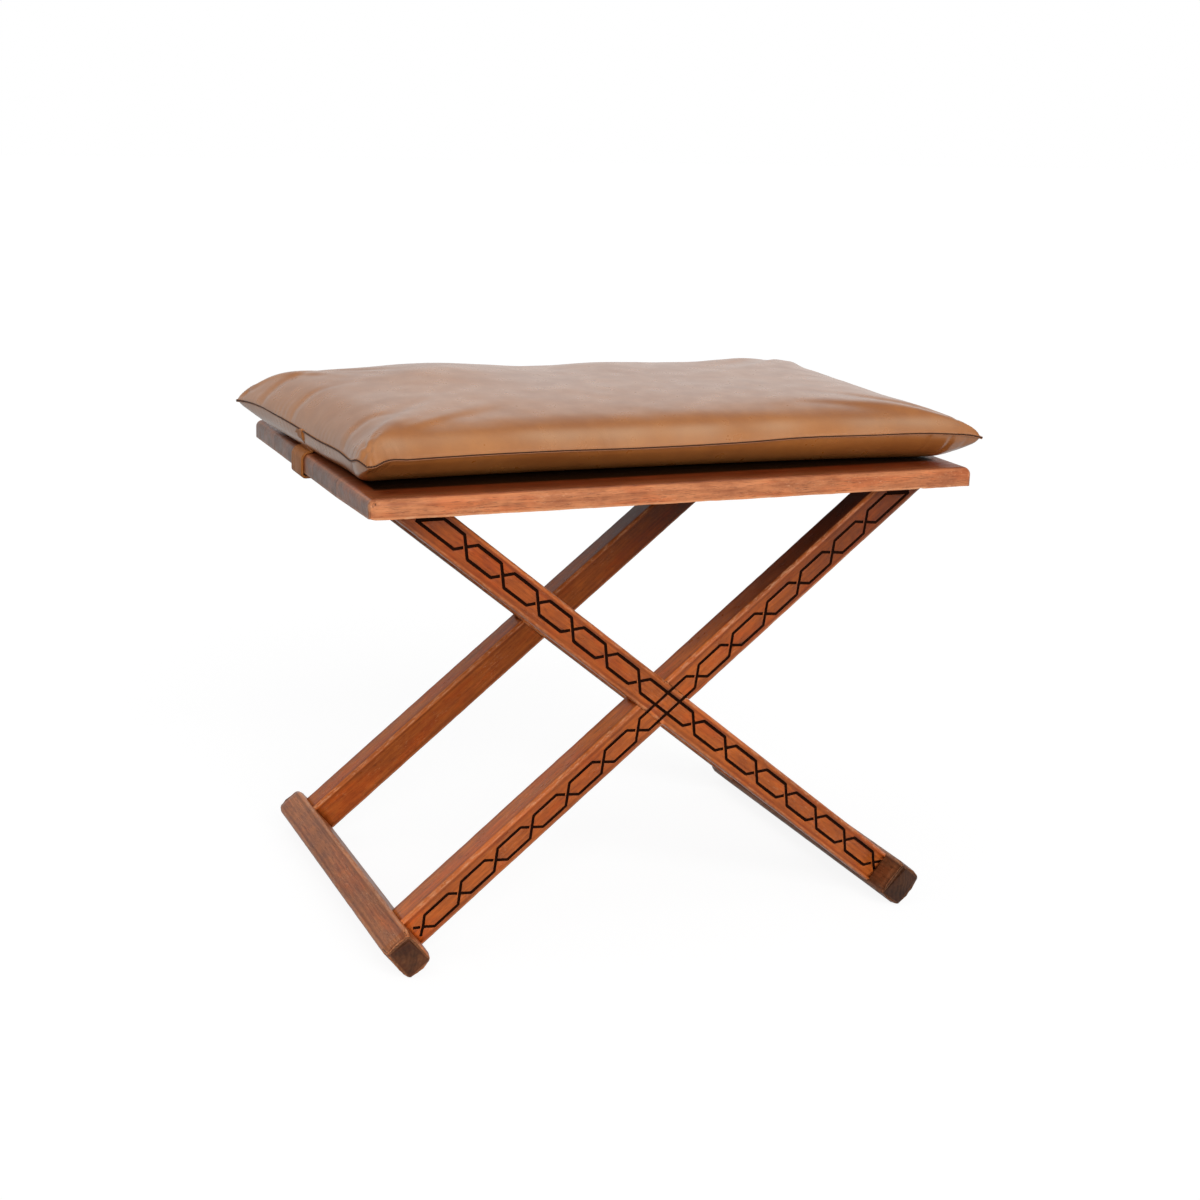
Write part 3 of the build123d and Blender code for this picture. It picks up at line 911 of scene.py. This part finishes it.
def beside_seam(out, up):
    """The seam's loop, moved out and up by so many mm."""
    loop = seam_loop()
    ahead = np.roll(loop, -1, axis=0) - np.roll(loop, 1, axis=0)
    outward = np.column_stack((ahead[:, 1], -ahead[:, 0], np.zeros(len(loop))))
    outward /= np.linalg.norm(outward, axis=1)[:, None]
    return loop + outward * out + np.array((0, 0, up))


def grow(name, tree, points, **sizes):
    """What a Geometry Nodes tree makes along a loop of points in mm, as a plain mesh."""
    mesh = bpy.data.meshes.new(name)
    links = [(index, (index + 1) % len(points)) for index in range(len(points))]
    mesh.from_pydata((points * MM).tolist(), links, [])
    piece = new_object(name, mesh)
    modifier = piece.modifiers.new(name, "NODES")
    modifier.node_group = tree
    for item in tree.interface.items_tree:
        if item.name in sizes:
            modifier[item.identifier] = sizes[item.name]
    bake_modifiers(piece)
    return piece


def line_tree(name, *sizes):
    """A Geometry Nodes tree, the line that it is given as a curve, and its sizes."""
    tree = bpy.data.node_groups.new(name, "GeometryNodeTree")
    tree.interface.new_socket("Line", in_out="INPUT", socket_type="NodeSocketGeometry")
    for size in sizes:
        tree.interface.new_socket(size, in_out="INPUT", socket_type="NodeSocketFloat")
    tree.interface.new_socket("Made", in_out="OUTPUT", socket_type="NodeSocketGeometry")
    given = add(tree, "NodeGroupInput")
    curve = Value(add(tree, "GeometryNodeMeshToCurve", {"Mesh": Value(given, "Line")}))
    return tree, curve, *(Value(given, size) for size in sizes)


def end_tree(geometry, material):
    """Ends the tree with one smooth mesh in the material."""
    tree = geometry.tree
    real = Value(add(tree, "GeometryNodeRealizeInstances", {"Geometry": geometry}))
    smooth = Value(add(tree, "GeometryNodeSetShadeSmooth", {"Geometry": real}))
    painted = Value(add(tree, "GeometryNodeSetMaterial", {"Geometry": smooth, "Material": material}))
    add(tree, "NodeGroupOutput", {0: painted})
    return tree


def bead_tree(material):
    """A thin rounded bead along a line."""
    tree, curve, radius = line_tree("seam bead", "Radius")
    ring = Value(add(tree, "GeometryNodeCurvePrimitiveCircle", {"Resolution": 7, "Radius": radius}))
    return end_tree(Value(add(tree, "GeometryNodeCurveToMesh", {"Curve": curve, "Profile Curve": ring})),
                    material)


def stitch_tree(material):
    """Small stitches laid end to end along a line."""
    tree, curve, pitch, thickness = line_tree("seam stitches", "Pitch", "Thickness")
    dots = add(tree, "GeometryNodeCurveToPoints", {"Curve": curve, "Length": pitch}, mode="LENGTH")
    thread = Value(add(tree, "GeometryNodeMeshUVSphere", {"Segments": 6, "Rings": 4, "Radius": 1.0}))
    size = Value(add(tree, "ShaderNodeCombineXYZ", {"X": pitch * 0.40, "Y": thickness, "Z": thickness}))
    turned = Value(add(tree, "FunctionNodeAlignRotationToVector", {"Vector": Value(dots, "Tangent")},
                       axis="X"))
    return end_tree(Value(add(tree, "GeometryNodeInstanceOnPoints", {
        "Points": Value(dots, "Points"), "Instance": thread, "Rotation": turned, "Scale": size})), material)


class STOOL_OT_cushion(bpy.types.Operator):
    """Make the stuffed leather cushion"""
    bl_idname = "stool.cushion"
    bl_label = "Cushion"

    def execute(self, context):
        sizes = context.scene.stool_cushion
        leather = leather_finish("cushion leather", sizes.leather, sizes.leather_dark,
                                 (0.62, 0.40, 0.25, 1), sizes.pebble, 0.05, coat=0.25)
        piece = piece_from(cushion_skin(sizes.crown), "cushion_cover", leather)
        stuff_by_cloth(piece, 4.0, 0.004)
        fine = piece.modifiers.new("fine", "SUBSURF")
        fine.levels = fine.render_levels = 1
        bake_modifiers(piece)
        crease_cover(piece)
        smooth_faces(piece.data)
        hand_over(piece, "cushion_leather", "cushion_top_panel", "cushion_bottom_panel", "cushion_pad")
        return {"FINISHED"}


class STOOL_OT_seam(bpy.types.Operator):
    """Make the turned edge under the cushion's seam, a dark line along the seam as painted shade, and the
    stitches along it
    """
    bl_idname = "stool.seam"
    bl_label = "Seam and stitches"

    def execute(self, context):
        sizes = context.scene.stool_cushion
        edge = plain_finish("seam edge", (0.50, 0.22, 0.10, 1), (0.30, 0.11, 0.045, 1), 0.5, 700.0)
        # painted shade: a thin dark tube along the seam stands for the shade in its fold
        dark = plain_finish("seam shade line", (0.075, 0.028, 0.012, 1), (0.03, 0.010, 0.005, 1), 0.75, 900.0)
        tan = plain_finish("stitch thread", (0.52, 0.25, 0.12, 1), (0.28, 0.11, 0.05, 1), 0.6, 900.0)
        bead = grow("cushion_seam_edge", bead_tree(edge), beside_seam(0.20, -0.85), Radius=0.0007)
        line = grow("cushion_seam_line", bead_tree(dark), beside_seam(0.40, 0.05), Radius=0.0008)
        stitches = grow("cushion_stitches", stitch_tree(tan), beside_seam(0.35, 0.85),
                        Pitch=sizes.stitch, Thickness=0.0005)
        for piece in (bead, line, stitches):
            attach(piece, "root")
        return {"FINISHED"}


# Where the straps are cut across for bending, as heights in mm.
STRAP_CUTS = (436, 441, 446, 453, 457, 461, 465, 469, 473)


class STOOL_OT_straps(bpy.types.Operator):
    """Make the two leather straps round the board's ends"""
    bl_idname = "stool.straps"
    bl_label = "Straps"

    def execute(self, context):
        sizes = context.scene.stool_cushion
        leather = leather_finish("strap leather", shade(sizes.leather, 1.15), sizes.leather_dark,
                                 (0.6, 0.36, 0.22, 1), 0.0013, 0.2, 0.5, 0.30, 0.45)
        for node in ("left_strap", "right_strap"):
            low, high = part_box(node)
            middle, width = (low.y + high.y) / 2, high.y - low.y
            lines = [middle + width * share for share in (-0.36, -0.20, 0.0, 0.19, 0.36)]
            skin = merged_copy(node)
            slice_skin(skin, (0, 1, 0), [(0, line + step, 0) for line in lines
                                         for step in (-0.0009, -0.0004, 0.0, 0.0004, 0.0009)])
            slice_skin(skin, (0, 0, 1), [(0, 0, height * MM) for height in STRAP_CUTS])
            bmesh.ops.bevel(skin, geom=[edge for edge in skin.edges if edge.calc_face_angle(0) > 1.2],
                            offset=0.0004, segments=2, affect="EDGES")
            piece = piece_from(skin, node + "_leather", leather)
            points, normals = points_of(piece.data), normals_of(piece.data)
            dent = sum(np.exp(-((points[:, 1] - line) / 0.0005) ** 2) for line in lines)
            points -= normals * (dent * 0.00035)[:, None]
            # above the board a strap leans to the front and bulges outwards on its way to the seam
            lean = np.clip((points[:, 2] - BOARD_HIGH.z - 0.003) / 0.022, 0, 1)
            points[:, 1] -= 0.007 * lean
            rise = np.clip((points[:, 2] - BOARD_HIGH.z - 0.002) / 0.024, 0, 1)
            points[:, 0] += np.sign(points[:, 0]) * 0.0045 * (np.sin(math.pi * rise) - lean)
            set_points(piece.data, points)
            crisp_edges(piece)
            hand_over(piece, "strap_leather", node)
        return {"FINISHED"}


class STOOL_OT_hardware(bpy.types.Operator):
    """Give the dowels and press studs their finishes"""
    bl_idname = "stool.hardware"
    bl_label = "Dowels and press studs"

    def execute(self, context):
        brass = paint(plain_finish("aged brass", (0.62, 0.47, 0.25, 1), (0.40, 0.28, 0.13, 1), 0.36, 900.0),
                      {"Metallic": 1.0})
        dowel = plain_finish("beech dowel", (0.68, 0.52, 0.35, 1), (0.48, 0.33, 0.20, 1), 0.65, 500.0)
        for names, finish in ((("snap_caps", "snap_sockets", "snap_studs"), brass),
                              (("foot_dowels", "top_dowels"), dowel)):
            for name in names:
                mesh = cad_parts[name].data
                mesh.materials.clear()
                mesh.materials.append(finish)
        return {"FINISHED"}


class STOOL_OT_stage(bpy.types.Operator):
    """Set up the pale floor, the soft studio light and the camera"""
    bl_idname = "stool.stage"
    bl_label = "Stage"

    def execute(self, context):
        scene = context.scene
        scene.view_settings.view_transform = "Standard"
        camera = new_object("camera", bpy.data.cameras.new("camera"))
        camera.data.sensor_width, camera.data.lens = 36.0, 59.94
        axes = Matrix(((0.920233, -0.390003, 0.032698), (0.072189, 0.251258, 0.965224),
                       (-0.384656, -0.885871, 0.259370)))
        camera.matrix_world = (Matrix.Translation((-0.77456, -1.79138, 0.81269))
                               @ axes.transposed().to_4x4())
        scene.camera = camera

        skin = bmesh.new()
        bmesh.ops.create_grid(skin, x_segments=1, y_segments=1, size=14)
        grey, tree = new_material("white floor")
        paint(grey, {"Base Color": (0.17, 0.17, 0.17, 1), "Roughness": 1.0, "Specular IOR Level": 0.0})
        floor = piece_from(skin, "floor", grey)
        ray = add(tree, "ShaderNodeLightPath")
        shown = Value(ray, "Is Glossy Ray") * 0.65 + Value(ray, "Is Camera Ray")
        glow = Value(add(tree, "ShaderNodeEmission", {"Color": (1, 1, 1, 1), "Strength": shown * 0.895}))
        both = Value(add(tree, "ShaderNodeAddShader", {0: Value(tree.nodes["Principled BSDF"]), 1: glow}))
        fill(tree.nodes["Material Output"].inputs["Surface"], both)

        world = bpy.data.worlds.new("studio")
        scene.world = world
        world.use_nodes = True
        tree = world.node_tree
        ray = add(tree, "ShaderNodeLightPath")
        seen = Value(ray, "Is Camera Ray").most(Value(ray, "Is Transmission Ray"))
        way = Value(add(tree, "ShaderNodeTexCoord"), "Generated")
        high_front, front, left = (way.vector("DOT_PRODUCT", towards, output="Value")
                                   for towards in ((0, -0.6, 0.8), (0, -1, 0), (-1, 0, 0)))
        mirrored = Value(ray, "Is Glossy Ray") * (
            high_front.step(-0.3, 0.55, 0.72, -0.10) + front.step(0.55, 0.95, 0.0, 0.30))
        dimmed = mirrored * left.step(-0.50, 0.0, 1.0, 0.70)
        inputs = tree.nodes["Background"].inputs
        fill(inputs["Color"], (1, 1, 1, 1))
        fill(inputs["Strength"], (seen * 0.72).most(dimmed) + 0.28)
        for name, strength, angle, towards in (("front light", 2.65, 50, (0.05, 0.92, -0.38)),
                                               ("top light", 0.40, 70, (0.5, 0.15, -0.85))):
            lamp = bpy.data.lights.new(name, "SUN")
            lamp.energy, lamp.angle = strength, math.radians(angle)
            holder = new_object(name, lamp)
            holder.visible_glossy = False
            holder.rotation_mode = "QUATERNION"
            holder.rotation_quaternion = Vector(towards).to_track_quat("-Z", "Y")
        return {"FINISHED"}


class STOOL_PT_panel(bpy.types.Panel):
    bl_idname = "STOOL_PT_panel"
    bl_label = "X-frame stool"
    bl_space_type = "VIEW_3D"
    bl_region_type = "UI"
    bl_category = "Stool"

    def draw(self, context):
        for group in (context.scene.stool_wood, context.scene.stool_cushion):
            for name in type(group).__annotations__:
                self.layout.prop(group, name)
        for operator in OPERATORS:
            self.layout.operator(operator.bl_idname)


OPERATORS = (STOOL_OT_stage, STOOL_OT_board, STOOL_OT_legs, STOOL_OT_foot_bars, STOOL_OT_cushion,
             STOOL_OT_seam, STOOL_OT_straps, STOOL_OT_hardware)
CLASSES = (StoolWood, StoolCushion, *OPERATORS, STOOL_PT_panel)


def register():
    for one in CLASSES:
        bpy.utils.register_class(one)
    bpy.types.Scene.stool_wood = bpy.props.PointerProperty(type=StoolWood)
    bpy.types.Scene.stool_cushion = bpy.props.PointerProperty(type=StoolCushion)


def unregister():
    del bpy.types.Scene.stool_wood, bpy.types.Scene.stool_cushion
    for one in reversed(CLASSES):
        bpy.utils.unregister_class(one)


def main():
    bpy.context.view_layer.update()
    register()
    for operator in OPERATORS:
        group, name = operator.bl_idname.split(".")
        getattr(getattr(bpy.ops, group), name)()
    bpy.context.view_layer.update()


if __name__ == "__main__":
    main()
